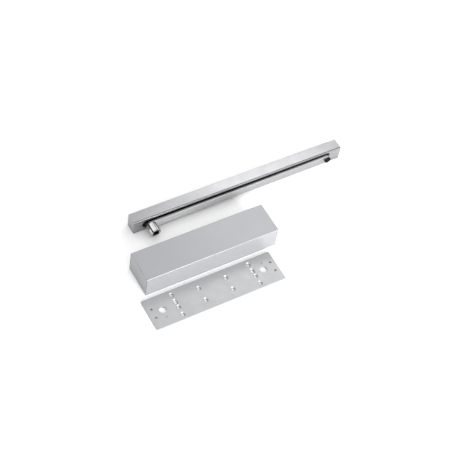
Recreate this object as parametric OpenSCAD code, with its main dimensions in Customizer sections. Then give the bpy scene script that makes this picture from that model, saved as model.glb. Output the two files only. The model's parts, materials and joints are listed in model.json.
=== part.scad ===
// Overhead door closer with a slide arm, laid out as a kit on its back:
// guide rail with the arm folded under it, closer body, mounting plate.
// X runs along the closer, Y across the door's top edge, Z away from the door.

/* [Closer body] */
// Length of the cover
cover_l = 275; // [270:1:285]
// Width of the cover, along the spindle
cover_w = 65.7; // [64:0.1:70]
// Depth of the cover, away from the door
cover_d = 47.7; // [46.5:0.1:52]
// Thickness of the cover's sheet
cover_t = 1.5; // [1:0.1:2]
// Radius of the cylinder bore
bore_r = 15.5; // [15:0.1:16]
// Distance from the cover's left end to the spindle
spindle_offset = 76.7; // [75:0.1:78]
// Height of the spindle's axis over the mounting face
spindle_z = 13.5; // [13:0.1:14.5]

/* [Arm] */
// Distance from the spindle's axis to the slider's pivot
arm_l = 391.3; // [390:0.1:393]
// Width of the arm's flat bar
arm_w = 17; // [15:0.5:18]
// Thickness of the arm's flat bar
arm_t = 5; // [4:0.1:5.5]
// Diameter of the socket hub
hub_d = 20.4; // [20:0.1:21]
// Length of the hub below the bar
hub_l = 19; // [18:0.1:24]
// Width across the flats of the spindle's square end
square_w = 12; // [11:0.1:12.4]

/* [Guide rail] */
// Length of the guide rail
rail_l = 459; // [450:1:480]
// Width of the rail, along the spindle
rail_w = 23.7; // [23:0.1:28]
// Depth of the rail, away from the door frame
rail_d = 31.8; // [31:0.1:34]
// Wall thickness of the rail
rail_t = 2.2; // [2:0.1:2.6]
// Width of the slot in the rail's underside
slot_w = 21; // [20:0.5:22]
// Height of the slider's pivot over the rail's back
pivot_z = 16.5; // [16:0.1:17.5]
// Length of each end bracket inside the rail
bracket_l = 17; // [16:0.5:18]

/* [Mounting plate] */
// Length of the mounting plate
plate_l = 269; // [266:1:275]
// Width of the mounting plate
plate_w = 66; // [64:0.5:70]
// Thickness of the mounting plate
plate_t = 4; // [3:0.5:5]

/* [Kit layout] */
// Gap between the plate and the closer
plate_gap = 10.6; // [5:0.1:30]
// Gap between the closer and the guide rail
rail_gap = 67.5; // [67:0.1:90]
// How far the plate's left end lies left of the cover's left end
plate_shift = 15.9; // [0:0.1:40]

/* [Hidden] */
$fn = 64;

// Small amount by which a cutting tool runs past a face
eps = 0.5;
// Radial clearance of every running fit
run_fit = 0.05;

// The bar lies slightly tilted, because the hub rests lower than the pivot
arm_tilt = asin((pivot_z - spindle_z) / arm_l);
arm_run = arm_l * cos(arm_tilt);
// How far the pivot stands in from the rail's right end
pivot_in = 33.1;

// The origin lies under the middle of the whole kit
kit_l = plate_shift + spindle_offset + arm_run + pivot_in;
kit_w = plate_w + plate_gap + cover_w + rail_gap + rail_w;
cover_x = plate_shift - kit_l / 2;
cover_y = plate_w + plate_gap - kit_w / 2;
plate_x = -kit_l / 2;
plate_y = -kit_w / 2;
rail_x = kit_l / 2 - rail_l;
rail_y = kit_w / 2 - rail_w;
cover_end_y = cover_y + cover_w;

// Housing casting
housing_x0 = cover_x + 20;
housing_x1 = cover_x + cover_l - 20;
housing_y0 = cover_y + 4;
housing_y1 = cover_end_y - 4;
housing_d = 44;
foot_l = 16;
foot_w = 36;
foot_t = 8;
fixing_dx = 125;
fixing_dy = 9.75;
fixing_r = 3.25;
mid_x = cover_x + cover_l / 2;
mid_y = cover_y + cover_w / 2;
cylinder_z = 22.5;
plug_r = 17;
plug_l = 12;
plug_hex_r = 6;
groove_r = 14.4;
groove_in = 9.5;
groove_half = 1.1;
boss_r = 5;
thread_l = 8;

// Spindle and its bearings
spindle_x = cover_x + spindle_offset;
journal_r = 7.5;
bearing_r = 11;
cap_r = 12.5;
pinion_l = 31;
stub_l = 11.5;
stub_thread_r = 2.5;
bearing_in = 7;
cap_t = 4;
tooth_n = 10;
gear_module = 1.5;
pitch_r = tooth_n * gear_module / 2;
pressure = 20;
pinion_add = 1.4;
rack_add = 0.8;
dedendum = 1.75;
backlash = 0.16;
pitch = PI * gear_module;

// Piston, spring and adjuster
piston_l = 84;
piston_x0 = housing_x0 + 16;
piston_x1 = piston_x0 + piston_l;
window_x0 = spindle_x - 28;
window_x1 = spindle_x + 10.5;
spring_x0 = piston_x1 - 10;
ring_r = 13.5;
ring_in = 6;
ring_l = 2;
check_r = 4;
check_l = 8.5;
oil_r = 1.5;
seat_x = housing_x1 - 33;
seat_l = 5;
seat_boss_l = 10;
wire_r = 2.3;
spring_r = 11.5;
spring_turns = 11;
adjuster_r = 4;
adjuster_head_r = 9;
adjuster_hex_r = 2.3;
adjuster_groove_r = 3;
adjuster_groove_in = 6;

// Regulating valves stand in the corners of the left end face
valve_r = 3;
valve_l = 18;
valve_in = 5.5;
valve_z_low = 8;
valve_z_high = housing_d - 7;

// Arm
arm_gap = 0.3;
bar_y1 = rail_y - arm_gap;
bar_y0 = bar_y1 - arm_t;
hub_y0 = bar_y0 - hub_l;
pivot_x = spindle_x + arm_run;
socket_deep = 13;
hub_r = hub_d / 2;

// Pivot pin and slider
pin_r = 3;
bush_r = 5.5;
slider_l = 22;
slider_gap = 0.3;

// Rail inside
cavity_y0 = rail_y + rail_t;
cavity_y1 = rail_y + rail_w - rail_t;
slot_z = 17;
tongue_r = slot_w / 2;
rail_hole_r = 2.75;
rail_hole_in = 9;
buffer_l = 11;
rail_end = rail_x + rail_l;

// Rod along Y from y0 to y1
module rod_y(r, y0, y1, x, z, sides = 64)
    translate([x, y1, z])
        rotate([90, 0, 0])
            cylinder(r = r, h = y1 - y0, $fn = sides);

// Rod along X from x0 to x1
module rod_x(r, x0, x1, y, z, sides = 64)
    translate([x0, y, z])
        rotate([0, 90, 0])
            cylinder(r = r, h = x1 - x0, $fn = sides);

// Rod along Z from z0 to z1
module rod_z(r, z0, z1, x, y, sides = 64)
    translate([x, y, z0])
        cylinder(r = r, h = z1 - z0, $fn = sides);

// Block between two corners
module block(low, high)
    translate(low)
        cube(high - low);

// Ring along Y
module ring_y(r_in, r_out, y0, y1, x, z)
    difference() {
        rod_y(r_out, y0, y1, x, z);
        rod_y(r_in, y0 - eps, y1 + eps, x, z);
    }

// Ring along X
module ring_x(r_in, r_out, x0, x1, y, z)
    difference() {
        rod_x(r_out, x0, x1, y, z);
        rod_x(r_in, x0 - eps, x1 + eps, y, z);
    }

// Flat piece with true round corners, its lowest corner at the origin
module round_plate(l, w, t, r)
    union() {
        translate([r, 0, 0]) cube([l - 2 * r, w, t]);
        translate([0, r, 0]) cube([l, w - 2 * r, t]);
        for (x = [r, l - r], y = [r, w - r])
            translate([x, y, 0])
                cylinder(r = r, h = t, $fn = 48);
    }

// Places children at the four fixing holes of the closer
module at_fixings(x, y)
    for (dx = [-fixing_dx, fixing_dx], dy = [-fixing_dy, fixing_dy])
        translate([x + dx, y + dy, 0])
            children();

// ---- Closer body ----

// The corners of the left end face that hold the regulating valves
valve_spots = [
    [housing_y0 + valve_in, valve_z_high],
    [housing_y1 - valve_in, valve_z_high],
    [housing_y0 + valve_in, valve_z_low]
];

// Cover screws pass through the cover's top side near its two ends
cover_screw_x = [housing_x0 + 14, housing_x1 - 14];
cover_screw_z = 9;
cover_screw_r = 2;
cover_head_r = 3.4;
cover_head_t = 2;
cover_hex_r = 1.3;

module closer_housing()
    color("silver")
        difference() {
            union() {
                block([housing_x0, housing_y0, 0], [housing_x1, housing_y1, housing_d]);
                for (x = [housing_x0 - foot_l, housing_x1])
                    block([x, mid_y - foot_w / 2, 0],
                          [x + foot_l, mid_y + foot_w / 2, foot_t]);
                for (x = cover_screw_x) {
                    rod_y(boss_r, housing_y1 - eps, cover_end_y - cover_t, x, cover_screw_z);
                    rod_y(boss_r, cover_y + cover_t, housing_y0 + eps, x, cover_screw_z);
                }
            }
            rod_x(bore_r, housing_x0 - eps, housing_x1 + eps, mid_y, cylinder_z);
            rod_x(plug_r, housing_x0 - eps, housing_x0 + plug_l, mid_y, cylinder_z);
            rod_x(plug_r, housing_x1 - plug_l, housing_x1 + eps, mid_y, cylinder_z);
            rod_y(journal_r + 0.3, housing_y0 + 2, housing_y1 + eps, spindle_x, spindle_z);
            rod_y(bearing_r, housing_y0 + 4, mid_y, spindle_x, spindle_z);
            rod_y(bearing_r, mid_y, housing_y1 + eps, spindle_x, spindle_z);
            rod_y(cap_r, housing_y1 - cap_t, housing_y1 + eps, spindle_x, spindle_z);
            at_fixings(mid_x, mid_y)
                cylinder(r = fixing_r, h = 3 * foot_t, center = true);
            for (spot = valve_spots)
                rod_x(valve_r, housing_x0 - eps, housing_x0 + valve_l + 4, spot[0], spot[1]);
            for (x = cover_screw_x)
                rod_y(cover_screw_r, housing_y1 - thread_l, cover_end_y, x, cover_screw_z);
        }

module closer_cover()
    color("gainsboro")
        difference() {
            block([cover_x, cover_y, 0], [cover_x + cover_l, cover_end_y, cover_d]);
            block([cover_x + cover_t, cover_y + cover_t, -eps],
                  [cover_x + cover_l - cover_t, cover_end_y - cover_t, cover_d - cover_t]);
            rod_y(cap_r + 1, cover_end_y - 2 * cover_t, cover_end_y + eps, spindle_x, spindle_z);
            block([spindle_x - cap_r - 1, cover_end_y - 2 * cover_t, -eps],
                  [spindle_x + cap_r + 1, cover_end_y + eps, spindle_z]);
            for (x = cover_screw_x)
                rod_y(cover_screw_r + 0.2, cover_end_y - 2 * cover_t, cover_end_y + eps,
                      x, cover_screw_z);
        }

module cover_screws()
    color("gray")
        for (x = cover_screw_x)
            difference() {
                union() {
                    rod_y(cover_screw_r, housing_y1 - thread_l + 2, cover_end_y, x, cover_screw_z);
                    rod_y(cover_head_r, cover_end_y, cover_end_y + cover_head_t, x, cover_screw_z);
                }
                rod_y(cover_hex_r, cover_end_y + 0.6, cover_end_y + 3, x, cover_screw_z, 6);
            }

// Groove round an end plug
module seal_groove(x)
    ring_x(groove_r, plug_r + 1, x - groove_half, x + groove_half, mid_y, cylinder_z);

// End plug with a hexagon socket in its outer face
module end_plug_left()
    color("dimgray")
        difference() {
            rod_x(plug_r, housing_x0, housing_x0 + plug_l, mid_y, cylinder_z);
            rod_x(plug_hex_r, housing_x0 - eps, housing_x0 + 6, mid_y, cylinder_z, 6);
            seal_groove(housing_x0 + groove_in);
        }

// End plug with a threaded bore for the power adjuster
module end_plug_right()
    color("dimgray")
        difference() {
            rod_x(plug_r, housing_x1 - plug_l, housing_x1, mid_y, cylinder_z);
            rod_x(adjuster_r + run_fit, housing_x1 - plug_l - eps, housing_x1 + eps,
                  mid_y, cylinder_z);
            seal_groove(housing_x1 - groove_in);
        }

// Rubber ring lying in the groove of a plug
module plug_seal(x)
    ring_x(groove_r, plug_r, x - groove_half + 0.1, x + groove_half - 0.1, mid_y, cylinder_z);

module plug_seals()
    color("black") {
        plug_seal(housing_x0 + groove_in);
        plug_seal(housing_x1 - groove_in);
    }

// ---- Spindle and rack ----

// Involute of the pinion's base circle at a given unrolled angle
base_r = pitch_r * cos(pressure);
function involute_point(t) = base_r * [
    cos(t) + t * PI / 180 * sin(t),
    sin(t) - t * PI / 180 * cos(t)
];
function turned(p, a) = [
    p[0] * cos(a) - p[1] * sin(a),
    p[0] * sin(a) + p[1] * cos(a)
];
function roll_at(r) = sqrt(pow(r / base_r, 2) - 1) * 180 / PI;

// Half the angle that a tooth covers on the base circle
pressure_inv = tan(pressure) * 180 / PI - pressure;
base_half = 90 / tooth_n - backlash / 2 / pitch_r * 180 / PI + pressure_inv;
flank_steps = 5;
tip_roll = roll_at(pitch_r + pinion_add);
flank = [
    for (i = [0:flank_steps])
        turned(involute_point(tip_roll * i / flank_steps), -base_half)
];

// One pinion tooth, symmetric about the first axis
tooth_root = turned([pitch_r - dedendum - 1, 0], -base_half);
module tooth_outline()
    polygon(concat(
        [tooth_root],
        flank,
        [for (i = [flank_steps:-1:0]) [flank[i][0], -flank[i][1]]],
        [[tooth_root[0], -tooth_root[1]]]
    ));

// Pinion along Y with one tooth pointing straight to +Z
module pinion()
    translate([spindle_x, mid_y + pinion_l / 2, spindle_z])
        rotate([90, 0, 0])
            linear_extrude(pinion_l)
                union() {
                    circle(r = pitch_r - dedendum);
                    for (i = [0:tooth_n - 1])
                        rotate(90 + i * 360 / tooth_n)
                            tooth_outline();
                }

module spindle()
    color("lightgray")
        difference() {
            union() {
                rod_y(journal_r, housing_y0 + 2.5, mid_y - pinion_l / 2, spindle_x, spindle_z);
                pinion();
                rod_y(journal_r, mid_y + pinion_l / 2, cover_end_y, spindle_x, spindle_z);
                block([spindle_x - square_w / 2, cover_end_y - 0.5, spindle_z - square_w / 2],
                      [spindle_x + square_w / 2, cover_end_y + stub_l,
                       spindle_z + square_w / 2]);
            }
            rod_y(stub_thread_r, cover_end_y - 8, cover_end_y + stub_l + eps, spindle_x, spindle_z);
        }

// Plain bush that carries a journal of the spindle
module upper_bearing()
    color("goldenrod")
        ring_y(journal_r + run_fit, bearing_r, mid_y + bore_r + 0.4, housing_y1 - bearing_in,
               spindle_x, spindle_z);

module lower_bearing()
    color("goldenrod")
        ring_y(journal_r + run_fit, bearing_r, housing_y0 + 4, mid_y - bore_r - 0.4,
               spindle_x, spindle_z);

module spindle_seal()
    color("black")
        ring_y(journal_r + run_fit, bearing_r, housing_y1 - bearing_in + 0.2, housing_y1 - cap_t - 0.2,
               spindle_x, spindle_z);

module spindle_cap()
    color("dimgray")
        ring_y(journal_r + 0.1, cap_r, housing_y1 - cap_t, cover_end_y - 1, spindle_x, spindle_z);

// Rack teeth point down to the pinion; a gap stands over the pinion's top tooth
rack_z = spindle_z + pitch_r;
rack_mouth = rack_add + eps;
module rack_gap()
    polygon([
        [-pitch / 4 - backlash / 2 - rack_mouth * tan(pressure), -rack_mouth],
        [-pitch / 4 - backlash / 2 + dedendum * tan(pressure), dedendum],
        [pitch / 4 + backlash / 2 - dedendum * tan(pressure), dedendum],
        [pitch / 4 + backlash / 2 + rack_mouth * tan(pressure), -rack_mouth]
    ]);

module piston()
    color("lightsteelblue")
        difference() {
            rod_x(bore_r - run_fit, piston_x0, piston_x1, mid_y, cylinder_z);
            block([window_x0, mid_y - 2 * bore_r, -bore_r],
                  [window_x1, mid_y + 2 * bore_r, rack_z - rack_add]);
            for (i = [-6:3])
                translate([spindle_x + i * pitch, mid_y + bore_r + 1, rack_z])
                    rotate([90, 0, 0])
                        linear_extrude(2 * bore_r + 2)
                            rack_gap();
            rod_x(bore_r - 1.2, spring_x0, piston_x1 + eps, mid_y, cylinder_z);
            ring_x(ring_r, bore_r + 1, piston_x0 + ring_in, piston_x0 + ring_in + ring_l,
                   mid_y, cylinder_z);
            rod_x(check_r, piston_x0 - eps, piston_x0 + check_l + 0.5, mid_y, cylinder_z);
            rod_x(oil_r, piston_x0 + check_l, window_x0 + eps, mid_y, cylinder_z);
        }

module piston_seal()
    color("black")
        ring_x(ring_r + run_fit, bore_r - 0.02, piston_x0 + ring_in + 0.1,
               piston_x0 + ring_in + ring_l - 0.1, mid_y, cylinder_z);

// Non-return valve cartridge in the piston's head
module check_valve()
    color("goldenrod")
        difference() {
            rod_x(check_r, piston_x0 + 0.5, piston_x0 + 0.5 + check_l, mid_y, cylinder_z);
            rod_x(oil_r, piston_x0, piston_x0 + check_l + 1, mid_y, cylinder_z);
        }

// ---- Spring and power adjuster ----

spring_gap = 0.2;
coil_x0 = spring_x0 + wire_r + spring_gap;
coil_x1 = seat_x - wire_r - spring_gap;
coil_steps = 20;
wire_sides = 8;
coil_rings = spring_turns * coil_steps;
function coil_point(i, s) =
    let (a = i * 360 / coil_steps,
         x = coil_x0 + (coil_x1 - coil_x0) * i / coil_rings,
         b = s * 360 / wire_sides,
         r = spring_r + wire_r * cos(b))
    [x + wire_r * sin(b), mid_y + r * cos(a), cylinder_z + r * sin(a)];

module closing_spring()
    color("darkgray")
        polyhedron(
            points = [
                for (i = [0:coil_rings], s = [0:wire_sides - 1]) coil_point(i, s)
            ],
            faces = concat(
                [[for (s = [0:wire_sides - 1]) s]],
                [
                    for (i = [0:coil_rings - 1], s = [0:wire_sides - 1])
                        let (n = (s + 1) % wire_sides, a = i * wire_sides, b = a + wire_sides)
                        [a + s, b + s, b + n, a + n]
                ],
                [[for (s = [wire_sides - 1:-1:0]) coil_rings * wire_sides + s]]
            )
        );

module spring_seat()
    color("lightsteelblue")
        union() {
            rod_x(bore_r - 0.1, seat_x, seat_x + seat_l, mid_y, cylinder_z);
            rod_x(spring_r - wire_r - 0.8, seat_x - seat_boss_l, seat_x + eps, mid_y, cylinder_z);
        }

// Screw with a hexagon socket, reached from the right end
module power_adjuster()
    color("gray")
        difference() {
            union() {
                rod_x(adjuster_r, housing_x1 - plug_l - 2, housing_x1 + 6, mid_y, cylinder_z);
                rod_x(adjuster_head_r, seat_x + seat_l + 0.3, housing_x1 - plug_l - 1, mid_y, cylinder_z);
            }
            rod_x(adjuster_hex_r, housing_x1, housing_x1 + 7, mid_y, cylinder_z, 6);
            ring_x(adjuster_groove_r, adjuster_r + 1, housing_x1 - adjuster_groove_in - 1,
                   housing_x1 - adjuster_groove_in + 1, mid_y, cylinder_z);
        }

module adjuster_seal()
    color("black")
        ring_x(adjuster_groove_r + run_fit, adjuster_r, housing_x1 - adjuster_groove_in - 0.9,
               housing_x1 - adjuster_groove_in + 0.9, mid_y, cylinder_z);

// ---- Regulating valves ----

valve_fit_r = valve_r - run_fit;
valve_groove_r = 2.1;
valve_groove_in = 8;
needle_r = 1.6;
valve_body_l = 12;
module needle_valve(spot)
    difference() {
        union() {
            rod_x(valve_fit_r, housing_x0 + 0.5, housing_x0 + valve_body_l, spot[0], spot[1]);
            rod_x(needle_r, housing_x0 + valve_body_l - 1, housing_x0 + valve_l, spot[0], spot[1]);
        }
        block([housing_x0, spot[0] - 0.5, spot[1] - valve_r],
              [housing_x0 + 1.8, spot[0] + 0.5, spot[1] + valve_r]);
        ring_x(valve_groove_r, valve_r + 1, housing_x0 + valve_groove_in - 1,
               housing_x0 + valve_groove_in + 1, spot[0], spot[1]);
    }

module closing_valve()
    color("goldenrod")
        needle_valve(valve_spots[0]);

module latching_valve()
    color("goldenrod")
        needle_valve(valve_spots[1]);

module backcheck_valve()
    color("goldenrod")
        needle_valve(valve_spots[2]);

module valve_seals()
    color("black")
        for (spot = valve_spots)
            ring_x(valve_groove_r + run_fit, valve_r, housing_x0 + valve_groove_in - 0.9,
                   housing_x0 + valve_groove_in + 0.9, spot[0], spot[1]);

// ---- Arm ----

screw_head_r = 5.5;
screw_hole_r = 3;
screw_head_t = 3.3;
screw_r = 2.4;
// The bar's long edges lie a hair inside its round ends
bar_half = arm_w / 2 - 0.03;
module main_arm()
    color("silver")
        difference() {
            union() {
                rod_y(arm_w / 2, bar_y0, bar_y1, spindle_x, spindle_z);
                rod_y(arm_w / 2, bar_y0, bar_y1, pivot_x, pivot_z);
                translate([spindle_x, 0, spindle_z])
                    rotate([0, -arm_tilt, 0])
                        block([0, bar_y0, -bar_half], [arm_l, bar_y1, bar_half]);
            }
            rod_y(screw_head_r, bar_y1 - screw_head_t, bar_y1 + eps, spindle_x, spindle_z);
            rod_y(screw_hole_r, bar_y0 - eps, bar_y1 + eps, spindle_x, spindle_z);
            rod_y(pin_r + run_fit, bar_y0 - eps, bar_y1 + eps, pivot_x, pivot_z);
        }

// Boss with a square socket that fits over the spindle's square end
socket_w = square_w + 0.2;
module arm_hub()
    color("silver")
        difference() {
            rod_y(hub_r, hub_y0, bar_y0, spindle_x, spindle_z);
            block([spindle_x - socket_w / 2, hub_y0 - eps, spindle_z - socket_w / 2],
                  [spindle_x + socket_w / 2, hub_y0 + socket_deep, spindle_z + socket_w / 2]);
            rod_y(screw_hole_r, hub_y0, bar_y0 + eps, spindle_x, spindle_z);
        }

// Captive screw that draws the hub onto the spindle; its tip waits above the socket
module arm_screw()
    color("gray")
        difference() {
            union() {
                rod_y(screw_head_r - 0.2, bar_y1 - screw_head_t + 0.1, bar_y1 - 0.1, spindle_x, spindle_z);
                rod_y(screw_r, hub_y0 + socket_deep - 4, bar_y1 - 3, spindle_x, spindle_z);
            }
            rod_y(screw_r, bar_y1 - 2.6, bar_y1 + eps, spindle_x, spindle_z, 6);
        }

// ---- Pivot and slider ----

washer_t = 0.8;
washer_r = 6.6;
head_r = 5;
head_t = 1.2;
pivot_cap_t = 2;
clip_slot = 2.3;
clip_y = cavity_y1 - 3;
head_y = bar_y0 - washer_t;
module pivot_pin()
    color("silver")
        difference() {
            union() {
                rod_y(pin_r, head_y - head_t / 2, cavity_y1 - 1, pivot_x, pivot_z);
                rod_y(head_r, head_y - head_t, head_y, pivot_x, pivot_z);
            }
            ring_y(clip_slot, pin_r + 1, clip_y, clip_y + 1, pivot_x, pivot_z);
        }

module pivot_washer()
    color("silver")
        ring_y(pin_r + 0.1, washer_r, head_y, bar_y0, pivot_x, pivot_z);

// Black plastic cap pressed over the head of the pin
module pivot_cap()
    color("black")
        difference() {
            rod_y(washer_r, head_y - pivot_cap_t, head_y, pivot_x, pivot_z);
            rod_y(head_r, head_y - head_t, head_y + eps, pivot_x, pivot_z);
        }

module pivot_circlip()
    color("gray")
        difference() {
            ring_y(clip_slot, 4.6, clip_y + 0.1, clip_y + 0.9, pivot_x, pivot_z);
            block([pivot_x - 5, clip_y - 1, pivot_z - 1.6],
                  [pivot_x, clip_y + 2, pivot_z + 1.6]);
        }

slider_y0 = cavity_y0 + slider_gap;
slider_y1 = cavity_y1 - 4;
slider_z0 = rail_t + slider_gap;
slider_z1 = rail_d - rail_t - slider_gap;
module slider_block()
    color("dimgray")
        difference() {
            block([pivot_x - slider_l / 2, slider_y0, slider_z0],
                  [pivot_x + slider_l / 2, slider_y1, slider_z1]);
            rod_y(bush_r, slider_y0 - eps, slider_y1 + eps, pivot_x, pivot_z);
        }

// Bush pressed into the block; its neck stands through the rail's slot
module slider_bush()
    color("goldenrod")
        ring_y(pin_r + run_fit, bush_r, rail_y + 0.1, slider_y1, pivot_x, pivot_z);

// ---- Guide rail ----

module rail_holes(y0)
    for (x = [rail_x + rail_hole_in, rail_end - rail_hole_in])
        rod_z(rail_hole_r, -eps, rail_d - rail_t - eps, x, y0);

rail_hole_y = rail_y + 14.8;
module rail_channel()
    color("whitesmoke")
        difference() {
            block([rail_x, rail_y, 0], [rail_end, rail_y + rail_w, rail_d]);
            block([rail_x - eps, cavity_y0, rail_t],
                  [rail_end + eps, cavity_y1, rail_d - rail_t]);
            block([rail_x - eps, rail_y - eps, slot_z - slot_w / 2],
                  [rail_end + eps, cavity_y0 + eps, slot_z + slot_w / 2]);
            rail_holes(rail_hole_y);
        }

// Die-cast block in the end of the rail, with a tongue that closes the slot
set_screw_in = 13.5;
set_screw_l = 8.5;
set_screw_r = 2;
set_hex_r = 1.1;
tongue_l = bracket_l + 1 + tongue_r;
// The right tongue stops short of the slider's bush
bush_clear = 1.9;
short_l = rail_end - pivot_x - bush_r - bush_clear;
fill_gap = 0.05;
module rail_bracket(reach, hollow_end)
    difference() {
        union() {
            block([0, cavity_y0, rail_t + fill_gap],
                  [bracket_l, cavity_y1 - fill_gap, rail_d - rail_t - fill_gap]);
            block([0, rail_y, slot_z - slot_w / 2 + fill_gap],
                  [reach, cavity_y0 + eps, slot_z + slot_w / 2 - fill_gap]);
        }
        if (hollow_end)
            rod_y(tongue_r, rail_y - eps, cavity_y0, reach, slot_z);
        block([bracket_l, cavity_y0, 0], [reach + eps, cavity_y1, rail_d]);
        rod_y(set_screw_r, rail_y - eps, rail_y + set_screw_l + 0.5, set_screw_in, slot_z);
        rod_z(rail_hole_r, -eps, rail_d + eps, rail_hole_in, rail_hole_y);
    }

module rail_bracket_left()
    color("silver")
        translate([rail_x, 0, 0])
            rail_bracket(tongue_l, true);

module rail_bracket_right()
    color("silver")
        translate([rail_end, 0, 0])
            mirror([1, 0, 0])
                rail_bracket(short_l, false);

module rail_set_screws()
    color("gray")
        for (x = [rail_x + set_screw_in, rail_end - set_screw_in])
            difference() {
                rod_y(set_screw_r, rail_y + 0.4, rail_y + set_screw_l, x, slot_z);
                rod_y(set_hex_r, rail_y, rail_y + 3, x, slot_z, 6);
            }

// Rubber stop that ends the slider's run when the door is wide open
module rail_buffer()
    color("black")
        block([rail_x + bracket_l, cavity_y0 + fill_gap, rail_t + fill_gap],
              [rail_x + bracket_l + buffer_l, cavity_y1 - fill_gap,
               rail_d - rail_t - fill_gap]);

// ---- Mounting plate ----

plate_mid_x = plate_x + plate_l / 2;
plate_mid_y = plate_y + plate_w / 2;
column_dx = 81;
column_r = 3.3;
column_top = 22.5;
column_low = -23;
column_inner = -6;
column_slot = [5, 8];
centre_dx = 28.5;
centre_r = 3.4;
centre_top = 14.5;
centre_low = -13;
// The screw holes are set off towards the right end
screw_shift = 3.5;
sink = 1.6;
access_dx = 106;
access_dy = 1;
access_r = 7;
tapped_r = 2.5;
mark_dx = 108;
mark_dy = 15.5;
mark_r = 3;
mark_deep = 0.6;

// Through hole at a place measured from the middle of the plate
module plate_hole(dx, dy, r)
    rod_z(r, -eps, plate_t + eps, plate_mid_x + dx, plate_mid_y + dy);

// Countersunk screw hole
module screw_hole(dx, dy, r) {
    plate_hole(screw_shift + dx, dy, r);
    translate([plate_mid_x + screw_shift + dx, plate_mid_y + dy, plate_t - sink])
        cylinder(r1 = r, r2 = r + 2 * sink, h = 2 * sink);
}

module mounting_plate()
    color("lightgray")
        difference() {
            translate([plate_x, plate_y, 0])
                round_plate(plate_l, plate_w, plate_t, 2);
            at_fixings(plate_mid_x, plate_mid_y)
                cylinder(r = tapped_r, h = 3 * plate_t, center = true);
            for (side = [-1, 1]) {
                plate_hole(side * access_dx, access_dy, access_r);
                for (dy = [column_top, column_inner, column_low])
                    screw_hole(side * column_dx, dy, column_r);
                for (dy = [centre_top, centre_low])
                    screw_hole(side * centre_dx, dy, centre_r);
                for (dy = column_slot)
                    screw_hole(side * column_dx, dy, column_r - 0.3);
                translate([plate_mid_x + side * mark_dx, plate_mid_y + side * mark_dy,
                           plate_t - mark_deep])
                    cylinder(r = mark_r, h = 1);
            }
        }

closer_housing();
closer_cover();
cover_screws();
end_plug_left();
end_plug_right();
plug_seals();
spindle();
upper_bearing();
lower_bearing();
spindle_seal();
spindle_cap();
piston();
piston_seal();
check_valve();
closing_spring();
spring_seat();
power_adjuster();
adjuster_seal();
closing_valve();
latching_valve();
backcheck_valve();
valve_seals();
main_arm();
arm_hub();
arm_screw();
pivot_pin();
pivot_cap();
pivot_washer();
pivot_circlip();
slider_block();
slider_bush();
rail_channel();
rail_bracket_left();
rail_bracket_right();
rail_set_screws();
rail_buffer();
mounting_plate();
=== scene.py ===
# %% [markdown]
# # A door closer with a slide arm, laid out as a kit
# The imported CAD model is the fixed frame. It gives every place and size, and this lesson
# gives the pieces their rounded edges, small details and metal finishes.

import json
import math

import bmesh
import bpy
from mathutils import Matrix, Vector


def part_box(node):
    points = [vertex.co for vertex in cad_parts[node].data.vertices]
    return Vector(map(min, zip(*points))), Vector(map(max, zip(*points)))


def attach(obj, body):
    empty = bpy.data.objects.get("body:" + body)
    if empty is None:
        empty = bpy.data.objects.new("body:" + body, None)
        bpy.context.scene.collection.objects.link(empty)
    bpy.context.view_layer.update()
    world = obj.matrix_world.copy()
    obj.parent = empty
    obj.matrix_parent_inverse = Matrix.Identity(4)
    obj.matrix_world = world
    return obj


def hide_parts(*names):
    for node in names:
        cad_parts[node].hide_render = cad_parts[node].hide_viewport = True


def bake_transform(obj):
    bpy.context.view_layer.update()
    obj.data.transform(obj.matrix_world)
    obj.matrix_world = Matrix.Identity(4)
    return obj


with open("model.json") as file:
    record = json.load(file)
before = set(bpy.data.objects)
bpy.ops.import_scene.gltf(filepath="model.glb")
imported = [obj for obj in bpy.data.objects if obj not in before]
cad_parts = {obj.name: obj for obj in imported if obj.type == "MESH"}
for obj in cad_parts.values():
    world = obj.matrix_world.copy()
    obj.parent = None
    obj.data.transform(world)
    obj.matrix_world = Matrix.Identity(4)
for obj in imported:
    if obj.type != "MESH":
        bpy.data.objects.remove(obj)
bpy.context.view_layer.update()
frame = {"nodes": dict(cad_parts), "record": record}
MM = 0.001

# %% [markdown]
# ## Helpers for modelling
# Operators act on whatever is selected, so every step starts from a clean selection.
# Faces and edges are picked by their place, which is what a person does by eye. A piece
# keeps its object at the origin, so its place is applied to the mesh straight away.


# %% Selection and primitives
def select_only(piece):
    if bpy.context.object and bpy.context.object.mode != "OBJECT":
        bpy.ops.object.mode_set(mode="OBJECT")
    bpy.ops.object.select_all(action="DESELECT")
    piece.select_set(True)
    bpy.context.view_layer.objects.active = piece


def apply_place(piece, name):
    piece.name = piece.data.name = name
    select_only(piece)
    bpy.ops.object.transform_apply(location=True, rotation=True, scale=True)
    return piece


def add_block(name, low, high):
    low, high = Vector(low), Vector(high)
    bpy.ops.mesh.primitive_cube_add(size=1, location=(low + high) / 2)
    piece = bpy.context.object
    piece.scale = high - low
    return apply_place(piece, name)


AXIS_TURNS = {"X": (0, math.pi / 2, 0), "Y": (math.pi / 2, 0, 0), "Z": (0, 0, 0)}


def add_rod(name, axis, centre, radius, length, sides=64):
    bpy.ops.mesh.primitive_cylinder_add(
        radius=radius, depth=length, vertices=sides,
        location=centre, rotation=AXIS_TURNS[axis],
    )
    return apply_place(bpy.context.object, name)


def add_cone(name, centre, low_radius, high_radius, length, sides=48):
    bpy.ops.mesh.primitive_cone_add(
        radius1=low_radius, radius2=high_radius, depth=length, vertices=sides, location=centre,
    )
    return apply_place(bpy.context.object, name)


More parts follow.
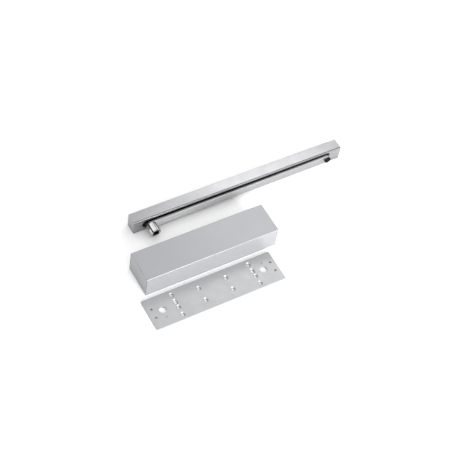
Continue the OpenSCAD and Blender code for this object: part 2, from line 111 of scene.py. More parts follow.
def select_faces(piece, wanted):
    """Leaves the piece in edit mode with the wanted faces selected."""
    select_only(piece)
    bpy.ops.object.mode_set(mode="EDIT")
    bpy.ops.mesh.select_mode(type="FACE")
    mesh = bmesh.from_edit_mesh(piece.data)
    picked = 0
    for face in mesh.faces:
        hit = wanted(face.calc_center_median(), face.normal)
        face.select_set(hit)
        picked += hit
    mesh.select_flush_mode()
    bmesh.update_edit_mesh(piece.data)
    return picked


def select_edges(piece, wanted):
    """Leaves the piece in edit mode with the wanted edges selected."""
    select_only(piece)
    bpy.ops.object.mode_set(mode="EDIT")
    bpy.ops.mesh.select_mode(type="EDGE")
    mesh = bmesh.from_edit_mesh(piece.data)
    for part in (*mesh.faces, *mesh.edges, *mesh.verts):
        part.select = False
    picked = 0
    for edge in mesh.edges:
        first, second = (corner.co for corner in edge.verts)
        if wanted(first, second):
            edge.select_set(True)
            picked += 1
    bmesh.update_edit_mesh(piece.data)
    return picked


def leave_edit():
    bpy.ops.object.mode_set(mode="OBJECT")


# %% Modifiers that are applied at once
def apply_modifier(piece, kind, **settings):
    select_only(piece)
    modifier = piece.modifiers.new(kind.title(), kind)
    for key, value in settings.items():
        setattr(modifier, key, value)
    bpy.ops.object.modifier_apply(modifier=modifier.name)
    return piece


def carve(piece, *tools):
    for tool in tools:
        apply_modifier(piece, "BOOLEAN", operation="DIFFERENCE", solver="EXACT", object=tool)
        bpy.data.objects.remove(tool)
    return piece


def weld(piece, *parts):
    for part in parts:
        apply_modifier(piece, "BOOLEAN", operation="UNION", solver="EXACT", object=part)
        bpy.data.objects.remove(part)
    return piece


def shade(piece, angle=30):
    """Smooth shading that stops at every edge sharper than the angle."""
    select_only(piece)
    bpy.ops.object.shade_smooth_by_angle(angle=math.radians(angle))
    return apply_modifier(piece, "WEIGHTED_NORMAL", keep_sharp=True, weight=80)


def soften(piece, width, segments=2, angle=30):
    """Rounds every edge that is sharper than the angle, then shades it smooth."""
    apply_modifier(
        piece, "BEVEL", width=width, segments=segments,
        limit_method="ANGLE", angle_limit=math.radians(angle),
        use_clamp_overlap=True, harden_normals=False, miter_outer="MITER_ARC",
    )
    return shade(piece, angle)


def finish_piece(piece, body, material, slot, *replaced):
    piece.data.materials.clear()
    piece.data.materials.append(material)
    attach(piece, body)
    if replaced:
        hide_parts(*replaced)
    print(piece.name, "has", len(piece.data.polygons), "faces")
    return piece


# %% [markdown]
# ## Shader maths in plain expressions
# A node tree is easier to read as a formula. `Wire` wraps one socket and overloads the
# arithmetic operators, so `1 - mask * 0.5` adds its Math nodes by itself. `Paint` holds
# one material and makes every other node through a single method.


# %% Sockets with operators
class Wire:
    def __init__(self, paint, socket):
        self.paint = paint
        self.socket = socket

    def maths(self, operation, *values):
        return self.paint.node("ShaderNodeMath", {"operation": operation}, *values)

    def __add__(self, other):
        return self.maths("ADD", self, other)

    def __radd__(self, other):
        return self.maths("ADD", other, self)

    def __sub__(self, other):
        return self.maths("SUBTRACT", self, other)

    def __rsub__(self, other):
        return self.maths("SUBTRACT", other, self)

    def __mul__(self, other):
        return self.maths("MULTIPLY", self, other)

    def __rmul__(self, other):
        return self.maths("MULTIPLY", other, self)

    def __truediv__(self, other):
        return self.maths("DIVIDE", self, other)

    def smooth(self, start, end):
        """Rises smoothly from 0 at start to 1 at end."""
        return self.paint.node(
            "ShaderNodeMapRange", {"interpolation_type": "SMOOTHSTEP"},
            Value=self, **{"From Min": start, "From Max": end},
        )


class Paint:
    def __init__(self, name):
        self.material = bpy.data.materials.new(name)
        self.material.use_nodes = True
        self.tree = self.material.node_tree
        self.tree.nodes.clear()
        self.shader = self.tree.nodes.new("ShaderNodeBsdfPrincipled")
        output = self.tree.nodes.new("ShaderNodeOutputMaterial")
        self.tree.links.new(self.shader.outputs[0], output.inputs[0])
        self.place = self.node("ShaderNodeTexCoord", output="Object")

    def plug(self, value, socket):
        if isinstance(value, Wire):
            self.tree.links.new(value.socket, socket)
        else:
            socket.default_value = value

    def node(self, kind, settings=None, *values, output=0, **named):
        made = self.tree.nodes.new(kind)
        for key, value in (settings or {}).items():
            if key == "stops":
                ramp = made.color_ramp
                while len(ramp.elements) < len(value):
                    ramp.elements.new(0.5)
                for element, (where, shade) in zip(ramp.elements, value):
                    element.position = where
                    element.color = (*[shade] * 3, 1) if isinstance(shade, float) else (*shade, 1)
            else:
                setattr(made, key, value)
        for index, value in enumerate(values):
            self.plug(value, made.inputs[index])
        for key, value in named.items():
            self.plug(value, made.inputs[key])
        return Wire(self, made.outputs[output])

    def noise(self, scale, detail=3.0, stretch=(1, 1, 1), roughness=0.55):
        """Noise between 0 and 1; stretch draws it out along an axis."""
        spread = self.node(
            "ShaderNodeMapping", None, Vector=self.place, Scale=[1 / part for part in stretch]
        )
        return self.node(
            "ShaderNodeTexNoise", None,
            Vector=spread, Scale=scale, Detail=detail, Roughness=roughness,
        )

    def axes(self):
        split = self.tree.nodes.new("ShaderNodeSeparateXYZ")
        self.tree.links.new(self.place.socket, split.inputs[0])
        return [Wire(self, split.outputs[i]) for i in range(3)]

    def blend(self, mask, first, second):
        """A colour between the first and the second, as the mask says."""
        mix = self.tree.nodes.new("ShaderNodeMix")
        mix.data_type = "RGBA"
        self.plug(mask, mix.inputs[0])
        for value, socket in ((first, mix.inputs[6]), (second, mix.inputs[7])):
            self.plug(value if isinstance(value, Wire) else (*value, 1), socket)
        return Wire(self, mix.outputs[2])

    def bump(self, height, distance, strength=1.0):
        return self.node(
            "ShaderNodeBump", None, Strength=strength, Distance=distance, Height=height
        )

    def finish(self, **sockets):
        for key, value in sockets.items():
            self.plug(value, self.shader.inputs[key.replace("_", " ")])
        return self.material


print("helpers are ready")

# %% [markdown]
# ## Camera
# The camera is also rolled about its own axis, which makes the long pieces climb to the
# right. The aim is a point on the table.

# %% Camera
CAMERA_AZIMUTH = -38.61
CAMERA_ELEVATION = 52.89
CAMERA_ROLL = 11.45
CAMERA_DISTANCE = 2.5206
CAMERA_AIM = Vector((-0.0263, 0.0111, 0.0))
LENS_MM = 102.0

azimuth, elevation = math.radians(CAMERA_AZIMUTH), math.radians(CAMERA_ELEVATION)
camera_back = Vector((
    math.sin(azimuth) * math.cos(elevation),
    -math.cos(azimuth) * math.cos(elevation),
    math.sin(elevation),
))
camera_data = bpy.data.cameras.new("camera")
camera_data.lens = LENS_MM
camera_data.sensor_width = 36
camera = bpy.data.objects.new("camera", camera_data)
bpy.context.scene.collection.objects.link(camera)
camera.location = CAMERA_AIM + camera_back * CAMERA_DISTANCE
camera.rotation_mode = "QUATERNION"
upright = (-camera_back).to_track_quat("-Z", "Y")
camera.rotation_quaternion = Matrix.Rotation(
    math.radians(CAMERA_ROLL), 3, camera_back
).to_quaternion() @ upright
bpy.context.scene.camera = camera
print("camera stands at", [round(part, 3) for part in camera.location])

# %% [markdown]
# ## Table and light
# Bright metal shows what stands around it more than its own colour. So the table is
# nearly white, and the light is a bright, even sky with two large soft panels. One stands
# low in front and makes the front faces paler than the tops. The other stands behind at
# the right, where the top faces mirror it, so those faces grow lighter from left to right.

# %% Floor
FLOOR_SIZE = 14
bpy.ops.mesh.primitive_plane_add(size=FLOOR_SIZE, location=(0, 0, 0))
floor = bpy.context.object
floor.name = "floor"
floor_paint = Paint("pale_table")
floor.data.materials.append(
    floor_paint.finish(Base_Color=(0.93, 0.93, 0.93, 1), Roughness=0.9)
)
print("the table is", FLOOR_SIZE, "m wide")

# %% Sky and light panels
SKY_STRENGTH = 1.15
bpy.context.scene.view_settings.view_transform = "Standard"
world = bpy.data.worlds.new("studio_sky")
world.use_nodes = True
world.node_tree.nodes["Background"].inputs["Color"].default_value = (1, 1, 1, 1)
world.node_tree.nodes["Background"].inputs["Strength"].default_value = SKY_STRENGTH
bpy.context.scene.world = world


def add_panel(name, place, aim, size, watts):
    data = bpy.data.lights.new(name, "AREA")
    data.shape = "RECTANGLE"
    data.size, data.size_y = size
    data.energy = watts
    panel = bpy.data.objects.new(name, data)
    bpy.context.scene.collection.objects.link(panel)
    panel.location = place
    panel.rotation_euler = (Vector(place) - Vector(aim)).to_track_quat("Z", "Y").to_euler()
    return panel


add_panel("key_panel", (0.15, -1.6, 0.45), (-0.05, 0, 0), (0.9, 0.9), 54)
add_panel("mirror_panel", (0.61, 0.70, 1.15), (0.05, 0.05, 0), (0.45, 0.45), 1.8)
print("the sky and two panels are lit")

# %% [markdown]
# ## Finishes
# Real metal is never one even colour. Rolled, drawn and ground surfaces carry fine lines
# along the way they were worked, cast ones a soft pebble, and all of them small patches
# that are a little duller. One recipe makes the family: a base colour that drifts
# slightly, lines or grains as bump, and a roughness that wanders. The numbers below turn
# it into each finish of this closer.


# %% Metal recipe
def worked_metal(
    name, colour, rough, grain_scale=420, grain_stretch=(1, 1, 1), grain_depth=0.02,
    patch_scale=28, patch_shade=0.06, rough_drift=0.10, coat=0.0, metallic=1.0, painted_light_end=None,
):
    """Metal with worked lines or grains; grain_depth is in millimetres.

    The last argument holds the x where the painted light ends, the x where it starts, and its colour:
    a paler base colour towards low x, a painted light that stands in for light where the part lies in
    shade.
    """
    paint = Paint(name)
    grain = paint.noise(grain_scale, detail=4, stretch=grain_stretch)
    patches = paint.noise(patch_scale, detail=3)
    fine = paint.noise(grain_scale * 3, detail=2, stretch=grain_stretch)
    worn = [part * (1 - patch_shade) for part in colour]
    tone = paint.blend(patches.smooth(0.3, 0.7), colour, worn)
    # Painted light: below the start x the base colour turns paler, standing in for light where the
    # part lies in shade.
    if painted_light_end:
        ends_x, starts_x, painted_light_colour = painted_light_end
        along = paint.axes()[0]
        tone = paint.blend(along.smooth(starts_x, ends_x), painted_light_colour, tone)
    streaked = paint.blend(grain.smooth(0.35, 0.75) * 0.5, tone, [part * 0.9 for part in colour])
    roughness = rough + (patches - 0.5) * rough_drift + (fine - 0.5) * rough_drift
    return paint.finish(
        Base_Color=streaked, Metallic=metallic, Roughness=roughness, Coat_Weight=coat,
        Coat_Roughness=0.3, Normal=paint.bump(grain + fine * 0.5, grain_depth * MM),
    )


def moulded_black(name, colour, rough, pebble_scale=900, pebble_depth=0.02):
    """Black plastic or rubber with a fine pebble and faint dull patches."""
    paint = Paint(name)
    pebble = paint.noise(pebble_scale, detail=3)
    patches = paint.noise(60, detail=4)
    dusty = [part + 0.008 for part in colour]
    tone = paint.blend(patches.smooth(0.45, 0.8) * 0.6, colour, dusty)
    return paint.finish(
        Base_Color=tone, Metallic=0.0, Roughness=rough + (patches - 0.5) * 0.2,
        Specular_IOR_Level=0.05, Normal=paint.bump(pebble, pebble_depth * MM),
    )


def chrome_with_painted_reflections(name, colour, dark, rough, middle_x, middle_z):
    """Chrome with painted reflections: dark and bright bands in its base colour, which run along Y
    and are set by the angle about the hub's axis.
    """
    paint = Paint(name)
    x, _, z = paint.axes()
    turn = paint.node(
        "ShaderNodeMath", {"operation": "ARCTAN2"}, z - middle_z, x - middle_x
    ) / (2 * math.pi) + 0.5
    # The painted reflection bands follow the angle about the hub's axis.
    painted_reflections = paint.node("ShaderNodeValToRGB", {"stops": PAINTED_REFLECTION_BANDS}, turn)
    haze = paint.noise(500, detail=3, stretch=ROUND_Y)
    tone = paint.blend(painted_reflections, dark, colour)
    return paint.finish(
        Base_Color=tone, Metallic=1.0, Roughness=rough + (haze - 0.5) * 0.06,
        Normal=paint.bump(haze, 0.002 * MM),
    )


# %% Finishes of this closer
ALONG_X = (30, 1, 1)
ROUND_Y = (1, 18, 1)
# Painted reflections on the chrome hub: dark and bright stops by the angle about the hub's axis,
# standing in for what the chrome mirrors.
PAINTED_REFLECTION_BANDS = [
    (0.00, 0.6), (0.20, 0.5), (0.40, 0.6), (0.57, 0.35), (0.64, 0.5), (0.665, 1.0),
    (0.70, 1.0), (0.712, 0.1), (0.735, 0.1), (0.745, 0.75), (0.78, 0.8), (0.79, 1.0),
    (0.85, 1.0), (0.86, 0.0), (0.895, 0.0), (0.905, 0.95), (0.97, 0.8),
]
hub_low, hub_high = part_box("arm_hub")
hub_middle = (hub_low + hub_high) / 2
finishes = {
    "satin_cover": worked_metal(
        "satin_silver_lacquer", (0.285, 0.29, 0.302), 0.37, grain_scale=1400,
        grain_depth=0.006, patch_scale=14, patch_shade=0.03, rough_drift=0.06, metallic=0.36,
    ),
    "brushed_rail": worked_metal(
        "brushed_anodised_aluminium", (0.33, 0.33, 0.34), 0.30, grain_scale=900,
        grain_stretch=ALONG_X, grain_depth=0.012, patch_shade=0.05,
    ),
    # The arm's left part is painted paler, a painted light that offsets the shade the cover casts on
    # it there.
    "steel_arm": worked_metal(
        "bright_plated_steel", (0.42, 0.42, 0.43), 0.36, grain_scale=700,
        grain_stretch=ALONG_X, grain_depth=0.012, painted_light_end=(0.06, -0.16, (0.78, 0.78, 0.79)),
    ),
    "chrome_hub": chrome_with_painted_reflections(
        "chrome_painted_reflection_bands", (0.72, 0.72, 0.73), (0.02, 0.02, 0.02), 0.09,
        hub_middle.x, hub_middle.z,
    ),
    "zinc_plate": worked_metal(
        "zinc_plated_sheet", (0.355, 0.36, 0.366), 0.40, grain_scale=650,
        grain_stretch=(6, 1, 1), grain_depth=0.012, patch_scale=55, patch_shade=0.06,
        metallic=0.5,
    ),
    "cast_body": worked_metal(
        "cast_aluminium", (0.42, 0.43, 0.44), 0.52, grain_scale=520, grain_depth=0.08,
        patch_scale=40, patch_shade=0.12,
    ),
    "die_cast_zinc": worked_metal(
        "die_cast_zinc", (0.37, 0.37, 0.38), 0.42, grain_scale=600, grain_depth=0.03,
    ),
    "ground_steel": worked_metal(
        "ground_steel", (0.52, 0.52, 0.54), 0.24, grain_scale=700,
        grain_stretch=ROUND_Y, grain_depth=0.006,
    ),
    "spring_steel": worked_metal(
        "oiled_spring_steel", (0.16, 0.16, 0.17), 0.36, grain_scale=500, grain_depth=0.01,
        coat=0.3,
    ),
    "plated_screw": worked_metal(
        "plated_screw_steel", (0.45, 0.45, 0.47), 0.30, grain_scale=900, grain_depth=0.01,
    ),
    "bronze_bush": worked_metal(
        "sintered_bronze", (0.50, 0.34, 0.15), 0.45, grain_scale=1100, grain_depth=0.03,
    ),
    "brass_valve": worked_metal(
        "turned_brass", (0.62, 0.46, 0.19), 0.28, grain_scale=900, grain_depth=0.008,
    ),
    "black_plastic": moulded_black("moulded_black_plastic", (0.004, 0.004, 0.004), 0.6),
    "slider_plastic": moulded_black("black_sliding_plastic", (0.018, 0.018, 0.02), 0.42),
    # Painted shade: a near-black finish for the faces inside the rail's hollow and its groove, where
    # the rail is only shaded.
    "rail_inside": worked_metal(
        "painted_shade_hollow", (0.015, 0.015, 0.016), 0.6, grain_scale=700,
        grain_stretch=ALONG_X, grain_depth=0.01,
    ),
    # Painted shade: a near-black finish for the faces of the cover's joint grooves, standing in for
    # the shade inside the joints.
    "joint_shadow": worked_metal(
        "painted_joint_shade", (0.02, 0.02, 0.02), 0.6, grain_scale=700, grain_depth=0.01,
    ),
    "seal_rubber": moulded_black(
        "nitrile_rubber", (0.01, 0.01, 0.01), 0.72, pebble_scale=600, pebble_depth=0.05,
    ),
}
print("made", len(finishes), "finishes")

# %% [markdown]
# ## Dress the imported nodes
# Pieces inside the body already have the right shape, so they keep their CAD mesh and
# only take a finish. Each node's finish comes from the record, which names a slot per
# node, so no piece can be forgotten.

# %% Give every node its slot's finish
slot_of = {part["node"]: part["material_slot"] for part in frame["record"]["subparts"]}
for node, slot in slot_of.items():
    mesh = frame["nodes"][node].data
    mesh.materials.clear()
    mesh.materials.append(finishes[slot])
body_of = {
    node: body
    for body, nodes in frame["record"]["behaviour"]["bodies"].items() for node in nodes
}


def dress(piece, node):
    """Rides a detailed piece on its node's body, in its finish, in place of the node."""
    slot = slot_of[node]
    return finish_piece(piece, body_of[node], finishes[slot], slot, node)


def merged_copy(node, name):
    """A copy of a node with its doubled points merged, left in edit mode and all selected."""
    piece = bpy.data.objects.new(name, frame["nodes"][node].data.copy())
    piece.data.name = name
    bpy.context.scene.collection.objects.link(piece)
    select_only(piece)
    bpy.ops.object.mode_set(mode="EDIT")
    bpy.ops.mesh.select_all(action="SELECT")
    bpy.ops.mesh.remove_doubles(threshold=0.001 * MM)
    return piece


def softened(node, name, width, segments=2):
    """A copy of a node with its sharp edges rounded, as a real edge always is."""
    piece = merged_copy(node, name)
    bpy.ops.mesh.dissolve_limited(angle_limit=math.radians(0.5))
    leave_edit()
    soften(piece, width, segments)
    return dress(piece, node)


print("dressed", len(slot_of), "nodes")

# %% [markdown]
# ## Cover
# The cover is a folded sheet: one long channel with two end plates let into it. A box
# without its bottom gives the channel. Its two long top edges are bevelled to the bend
# of the sheet, which draws the fine bright line along the front. The joint round each end
# plate is cut as three fine grooves after the edges are rounded, so it stays crisp.

# %% Cover shell
SHEET = 1.5 * MM
BEND_RADIUS = 1.0 * MM
low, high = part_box("closer_cover")
cover = add_block("silver_cover", low, high)
select_faces(cover, lambda spot, normal: normal.z < -0.9)
bpy.ops.mesh.delete(type="FACE")
leave_edit()
select_edges(cover, lambda a, b: min(a.z, b.z) > high.z - MM and abs(a.y - b.y) < MM)
bpy.ops.mesh.bevel(offset=BEND_RADIUS, segments=6, profile=0.5, affect="EDGES")
leave_edit()
apply_modifier(cover, "SOLIDIFY", thickness=SHEET, offset=-1, use_even_offset=True)

# %% Cover openings
CUT_DEEP = 6 * MM
SCREW_HOLE_R = 2.2 * MM
spindle_low, spindle_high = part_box("spindle")
spindle_x = (spindle_low.x + spindle_high.x) / 2
spindle_z = (spindle_low.z + spindle_high.z) / 2
cap_low, cap_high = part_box("spindle_cap")
notch_r = (cap_high.x - cap_low.x) / 2 + MM
notch = weld(
    add_rod("notch_round", "Y", (spindle_x, high.y, spindle_z), notch_r, CUT_DEEP, 96),
    add_block(
        "notch_leg", (spindle_x - notch_r, high.y - CUT_DEEP / 2, low.z - MM),
        (spindle_x + notch_r, high.y + CUT_DEEP / 2, spindle_z),
    ),
)
screw_low, screw_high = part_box("cover_screws")
screw_z = (screw_low.z + screw_high.z) / 2
head_r = (screw_high.z - screw_low.z) / 2
screw_x = (screw_low.x + head_r, screw_high.x - head_r)
screw_holes = [
    add_rod("screw_hole", "Y", (x, high.y, screw_z), SCREW_HOLE_R, CUT_DEEP) for x in screw_x
]
carve(cover, notch, *screw_holes)
soften(cover, 0.2 * MM, 2)

# %% Joints round the end plates
JOINT_IN = 0.6 * MM
JOINT_W = 0.6 * MM
JOINT_DEEP = 0.7 * MM
near, far = JOINT_IN, JOINT_IN + JOINT_W
joints = []
for face_x in (low.x, high.x):
    x0, x1 = face_x - JOINT_DEEP, face_x + JOINT_DEEP
    joints += [
        add_block("joint_front", (x0, low.y + near, low.z - MM), (x1, low.y + far, high.z - far)),
        add_block("joint_back", (x0, high.y - far, low.z - MM), (x1, high.y - near, high.z - far)),
        add_block("joint_top", (x0, low.y + near, high.z - far), (x1, high.y - near, high.z - near)),
    ]
carve(cover, *joints)
shade(cover)
dress(cover, "closer_cover")
# The faces inside the joint grooves take the near-black finish, painted shade in the joints.
cover.data.materials.append(finishes["joint_shadow"])
TOUCH = 0.05 * MM
painted_shade_joint_faces = select_faces(cover, lambda spot, normal: (
    0.2 * MM < min(spot.x - low.x, high.x - spot.x) < JOINT_DEEP + 0.1 * MM
    and near - TOUCH < min(spot.y - low.y, high.y - spot.y, high.z - spot.z) < far + TOUCH
))
cover.active_material_index = 1
bpy.ops.object.material_slot_assign()
leave_edit()
print("the joints round the end plates have", painted_shade_joint_faces, "dull faces")

# %% [markdown]
# ## Guide rail
# The rail is an aluminium extrusion, so every section along it is the same. It starts as
# a long box with its two front edges rounded. The hollow, the slot for the slider and the
# fine groove beside the front edge are then cut from end to end, each with a longer box.
# Two low ribs stiffen the inner wall, clear of the slider. The faces inside the hollow and the fine
# groove are painted near black, a painted shade.

# %% Rail channel
RAIL_WALL = 2.2 * MM
FRONT_RADIUS = 0.9 * MM
OVER = 2 * MM
low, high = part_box("rail_channel")
rail = add_block("brushed_guide_rail", low, high)
select_edges(rail, lambda a, b: min(a.z, b.z) > high.z - MM and abs(a.y - b.y) < MM)
bpy.ops.mesh.bevel(offset=FRONT_RADIUS, segments=4, profile=0.5, affect="EDGES")
leave_edit()


def cut_along(name, y0, z0, y1, z1):
    """Cuts a box-shaped channel from end to end of the rail."""
    carve(rail, add_block(name, (low.x - OVER, y0, z0), (high.x + OVER, y1, z1)))


cut_along("hollow", low.y + RAIL_WALL, low.z + RAIL_WALL, high.y - RAIL_WALL, high.z - RAIL_WALL)
SLOT_MID = 17 * MM
SLOT_HALF = 10.5 * MM
cut_along(
    "slot", low.y - OVER, SLOT_MID - SLOT_HALF, low.y + RAIL_WALL + MM, SLOT_MID + SLOT_HALF,
)
GROOVE_W = 1.0 * MM
GROOVE_DEEP = 0.9 * MM
GROOVE_IN = 1.1 * MM
cut_along(
    "groove", low.y + GROOVE_IN, high.z - GROOVE_DEEP, low.y + GROOVE_IN + GROOVE_W, high.z + OVER,
)

# %% Rail fixing holes and ribs
FIXING_HOLE_R = 2.75 * MM
FIXING_HOLE_IN = 9 * MM
FIXING_HOLE_Y = 14.8 * MM
RIB_W = 1.4 * MM
RIB_DEEP = 2 * MM
RIB_END_IN = 21 * MM
RIB_HEIGHTS = (9 * MM, 23 * MM)
inner_y = high.y - RAIL_WALL
hole_y = low.y + FIXING_HOLE_Y
carve(rail, *[
    add_rod("fixing_hole", "Z", (x, hole_y, 0), FIXING_HOLE_R, CUT_DEEP)
    for x in (low.x + FIXING_HOLE_IN, high.x - FIXING_HOLE_IN)
])
bracket_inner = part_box("rail_buffer")[1].x
for rib_z in RIB_HEIGHTS:
    weld(rail, add_block(
        "rib", (bracket_inner + MM, inner_y - RIB_DEEP, rib_z),
        (high.x - RIB_END_IN, inner_y + MM, rib_z + RIB_W),
    ))
soften(rail, 0.2 * MM, 2)
dress(rail, "rail_channel")
# The hollow's inner faces and the groove take the near-black finish, painted shade.
rail.data.materials.append(finishes["rail_inside"])
painted_shade_faces = select_faces(rail, lambda spot, normal: (
    low.y + GROOVE_IN - 0.1 * MM < spot.y < high.y - RAIL_WALL / 2
    and low.z + RAIL_WALL / 2 < spot.z < high.z - 0.3 * MM
    and abs(normal.x) < 0.9
))
rail.active_material_index = 1
bpy.ops.object.material_slot_assign()
leave_edit()
print("the hollow has", painted_shade_faces, "dull faces")

# %% [markdown]
# ## Arm and hub
# The arm is a flat steel bar with round ends. The hub at its left end is a turned and
# chromed boss with a square socket. The bar's ends come from bevelling the four short
# corner edges by half of its width. The hub starts as a rod, whose tip is inset for a
# rim and bevelled round its edge, and then the socket is cut.

# %% Flat bar
ROUND_SHARE = 0.998  # just short of half, so that the two bevels never meet
PIVOT_HOLE_R = 3.05 * MM
SCREW_WAY_R = 3 * MM
SCREW_SEAT_R = 5.5 * MM
SCREW_SEAT_DEEP = 3.3 * MM
THROUGH_BAR = 20 * MM
low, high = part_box("main_arm")
pin_low, pin_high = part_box("pivot_pin")
pivot_x, pivot_z = (pin_low.x + pin_high.x) / 2, (pin_low.z + pin_high.z) / 2
run, rise = pivot_x - spindle_x, pivot_z - spindle_z
half = (high.x - low.x - run) / 2
reach = math.hypot(run, rise)
centre_y = (low.y + high.y) / 2
bar = add_block(
    "slide_arm", (-reach / 2 - half, low.y - centre_y, -half),
    (reach / 2 + half, high.y - centre_y, half),
)
select_edges(bar, lambda a, b: abs(a.y - b.y) > MM)
bpy.ops.mesh.bevel(offset=half * ROUND_SHARE, segments=20, profile=0.5, affect="EDGES")
leave_edit()
bar.rotation_euler.y = -math.atan2(rise, run)
bar.location = (spindle_x + run / 2, centre_y, spindle_z + rise / 2)
apply_place(bar, "slide_arm")
carve(
    bar,
    add_rod("pivot_hole", "Y", (pivot_x, centre_y, pivot_z), PIVOT_HOLE_R, THROUGH_BAR),
    add_rod("screw_hole", "Y", (spindle_x, centre_y, spindle_z), SCREW_WAY_R, THROUGH_BAR),
    add_rod("screw_seat", "Y", (spindle_x, high.y, spindle_z), SCREW_SEAT_R, 2 * SCREW_SEAT_DEEP),
)
soften(bar, 0.5 * MM, 3)
dress(bar, "main_arm")

# %% Hub
TIP_RIM = 0.9 * MM
TIP_BEVEL = 0.7 * MM
SOCKET = 12.2 * MM
SOCKET_DEEP = 13 * MM
THROUGH_HUB = 60 * MM
low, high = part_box("arm_hub")
hub_r = (high.x - low.x) / 2
hub_mid = (low.y + high.y) / 2
hub = add_rod("chrome_hub", "Y", (spindle_x, hub_mid, spindle_z), hub_r, high.y - low.y, 128)
select_faces(hub, lambda spot, normal: normal.y < -0.9)
bpy.ops.mesh.inset(thickness=TIP_RIM, depth=0)
leave_edit()


def from_axis(point):
    return math.hypot(point.x - spindle_x, point.z - spindle_z)


select_edges(hub, lambda a, b: (
    max(a.y, b.y) < low.y + 0.1 * MM and min(from_axis(a), from_axis(b)) > hub_r - 0.1 * MM
))
bpy.ops.mesh.bevel(offset=TIP_BEVEL, segments=3, profile=0.5, affect="EDGES")
leave_edit()
socket = add_block(
    "socket", (spindle_x - SOCKET / 2, low.y - MM, spindle_z - SOCKET / 2),
    (spindle_x + SOCKET / 2, low.y + SOCKET_DEEP, spindle_z + SOCKET / 2),
)
screw_way = add_rod("screw_way", "Y", (spindle_x, hub_mid, spindle_z), SCREW_WAY_R, THROUGH_HUB)
carve(hub, socket, screw_way)
soften(hub, 0.3 * MM, 2, angle=40)
dress(hub, "arm_hub")

# %% [markdown]
# ## Pivot of the slider
# At the arm's right end a pin goes up through the slot into the slider. Its head wears a
# black plastic cap, pressed on over a bright washer. The cap starts as a rod. Its outer
# face is inset twice and pushed in, which leaves a rim round a shallow dish.

# %% Cap and washer
CAP_RIM = 1.5 * MM
CAP_STEP = 0.3 * MM
CAP_DISH = 0.45 * MM
low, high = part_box("pivot_cap")
cap_radius = (high.x - low.x) / 2
cap = add_rod(
    "pivot_button", "Y", (pivot_x, (low.y + high.y) / 2, pivot_z),
    cap_radius, high.y - low.y, 64,
)
select_faces(cap, lambda spot, normal: normal.y < -0.9)
bpy.ops.mesh.inset(thickness=CAP_RIM, depth=0)
bpy.ops.mesh.inset(thickness=CAP_STEP, depth=-CAP_DISH)
leave_edit()
soften(cap, 0.35 * MM, 3)
dress(cap, "pivot_cap")
softened("pivot_washer", "pivot_collar", 0.3 * MM)

# %% [markdown]
# ## Mounting plate
# The plate is sheared from sheet, drilled, and zinc plated. Its corners are nipped round
# and every hole has a broken edge. The holes are rods cut from the block, and their
# places are measured from the plate's middle. A cone widens each screw hole at the top,
# which lets a screw head sink in. Two shallow centre marks sit beside the large holes.

# %% Drilled plate
CORNER_R = 2 * MM
low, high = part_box("mounting_plate")
middle = (low + high) / 2
plate = add_block("drilled_plate", low, high)
select_edges(plate, lambda a, b: abs(a.z - b.z) > MM)
bpy.ops.mesh.bevel(offset=CORNER_R, segments=5, profile=0.5, affect="EDGES")
leave_edit()
SLOT_R = 3 * MM
MARK_R = 3 * MM
MARK_DEEP = 0.6 * MM
MARK_PLACE = Vector((108, 15.5)) * MM
SINK = 1.6 * MM
SCREW_SHIFT_MM = 3.5
SLOT_HOLE_X_MM = 81
SLOT_HOLE_YS_MM = (5, 8)
THROUGH_PLATE = 12 * MM
plate_holes = [
    (Vector((SCREW_SHIFT_MM + side * SLOT_HOLE_X_MM, dy)) * MM, SLOT_R, True)
    for side in (-1, 1) for dy in SLOT_HOLE_YS_MM
]
for mount in frame["record"]["mounts"]:
    if mount["kind"] != "bolt_pattern" or not mount["name"].startswith("plate_"):
        continue
    sizes = mount["dims"]
    across, along = sizes["spacing_x_mm"] / 2, sizes.get("spacing_y_mm", 0) / 2
    offset = Vector(mount["pos_m"][:2]) - middle.xy
    spots = {(x, y) for x in (-across, across) for y in (-along, along)}
    countersunk = mount["name"] not in ("plate_tapped_holes", "plate_access_holes")
    plate_holes += [
        (offset + Vector(spot) * MM, sizes["hole_r_mm"] * MM, countersunk)
        for spot in sorted(spots)
    ]
plate_tools = [
    add_rod("plate_hole", "Z", (*(middle.xy + spot), middle.z), radius, THROUGH_PLATE, 48)
    for spot, radius, countersunk in plate_holes
] + [
    add_cone("sink", (*(middle.xy + spot), high.z), radius, radius + 2 * SINK, 2 * SINK)
    for spot, radius, countersunk in plate_holes if countersunk
] + [
    add_rod("mark", "Z", (*(middle.xy + side * MARK_PLACE), high.z), MARK_R, 2 * MARK_DEEP, 48)
    for side in (-1, 1)
]
print("the plate has", len(plate_holes), "holes")
carve(plate, *plate_tools)
soften(plate, 0.3 * MM, 2)
dress(plate, "mounting_plate")

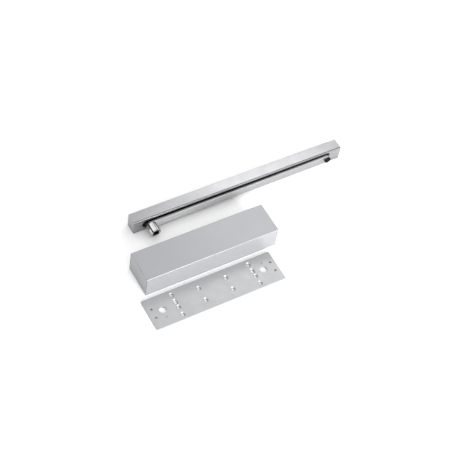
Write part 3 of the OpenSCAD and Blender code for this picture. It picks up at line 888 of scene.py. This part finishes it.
# %% [markdown]
# ## Castings, screws and other small pieces
# These have the right shape in CAD and only lack the soft edges of real pieces. Each is
# copied, its doubled points are merged, and its edges are rounded by a width that suits
# how it is made: wide on castings, fine on turned pieces.

# %% Softened copies
softened("closer_housing", "cast_housing", 0.8 * MM)
softened("rail_bracket_left", "end_bracket_left", 0.4 * MM)
softened("rail_bracket_right", "end_bracket_right", 0.4 * MM)
softened("rail_buffer", "slider_buffer", 0.8 * MM)
softened("rail_set_screws", "bracket_set_screws", 0.2 * MM)
softened("slider_block", "sliding_block", 0.7 * MM)
softened("spindle", "pinion_spindle", 0.3 * MM)
softened("spindle_cap", "spindle_ring", 0.4 * MM)
softened("cover_screws", "cover_fixing_screws", 0.3 * MM)
softened("arm_screw", "hub_screw", 0.25 * MM)
softened("end_plug_left", "left_cylinder_plug", 0.4 * MM)
softened("end_plug_right", "right_cylinder_plug", 0.4 * MM)
softened("power_adjuster", "spring_power_screw", 0.25 * MM)
for valve in ("closing_valve", "latching_valve", "backcheck_valve"):
    softened(valve, valve.replace("valve", "screw"), 0.2 * MM)

# %% [markdown]
# ## Closing spring
# The spring is squeezed from both ends: by the piston as the door opens, and by its seat when the
# closing force is set. A piece can follow one joint only, so the coil is cut in two, at a share of
# its length along x. The cut is placed where both parts would be squeezed by about the same share.
# The two parts keep the spring's finish; neither is attached to a body here, so neither follows the
# piston or its seat.

# %% Spring in two parts
low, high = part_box("closing_spring")
SPLIT_SHARE = 0.7
cut = Vector((low.x + SPLIT_SHARE * (high.x - low.x), (low.y + high.y) / 2, (low.z + high.z) / 2))
for name, is_left in (("spring_piston_part", True), ("spring_seat_part", False)):
    part = merged_copy("closing_spring", name)
    bpy.ops.mesh.bisect(
        plane_co=cut, plane_no=(1, 0, 0), use_fill=True, clear_outer=is_left, clear_inner=not is_left,
    )
    leave_edit()
    shade(part)
    part.data.materials.clear()
    part.data.materials.append(finishes[slot_of["closing_spring"]])
    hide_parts("closing_spring")
    if is_left:
        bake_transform(part)
    else:
        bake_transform(part)
    print(name, "has", len(part.data.polygons), "faces")
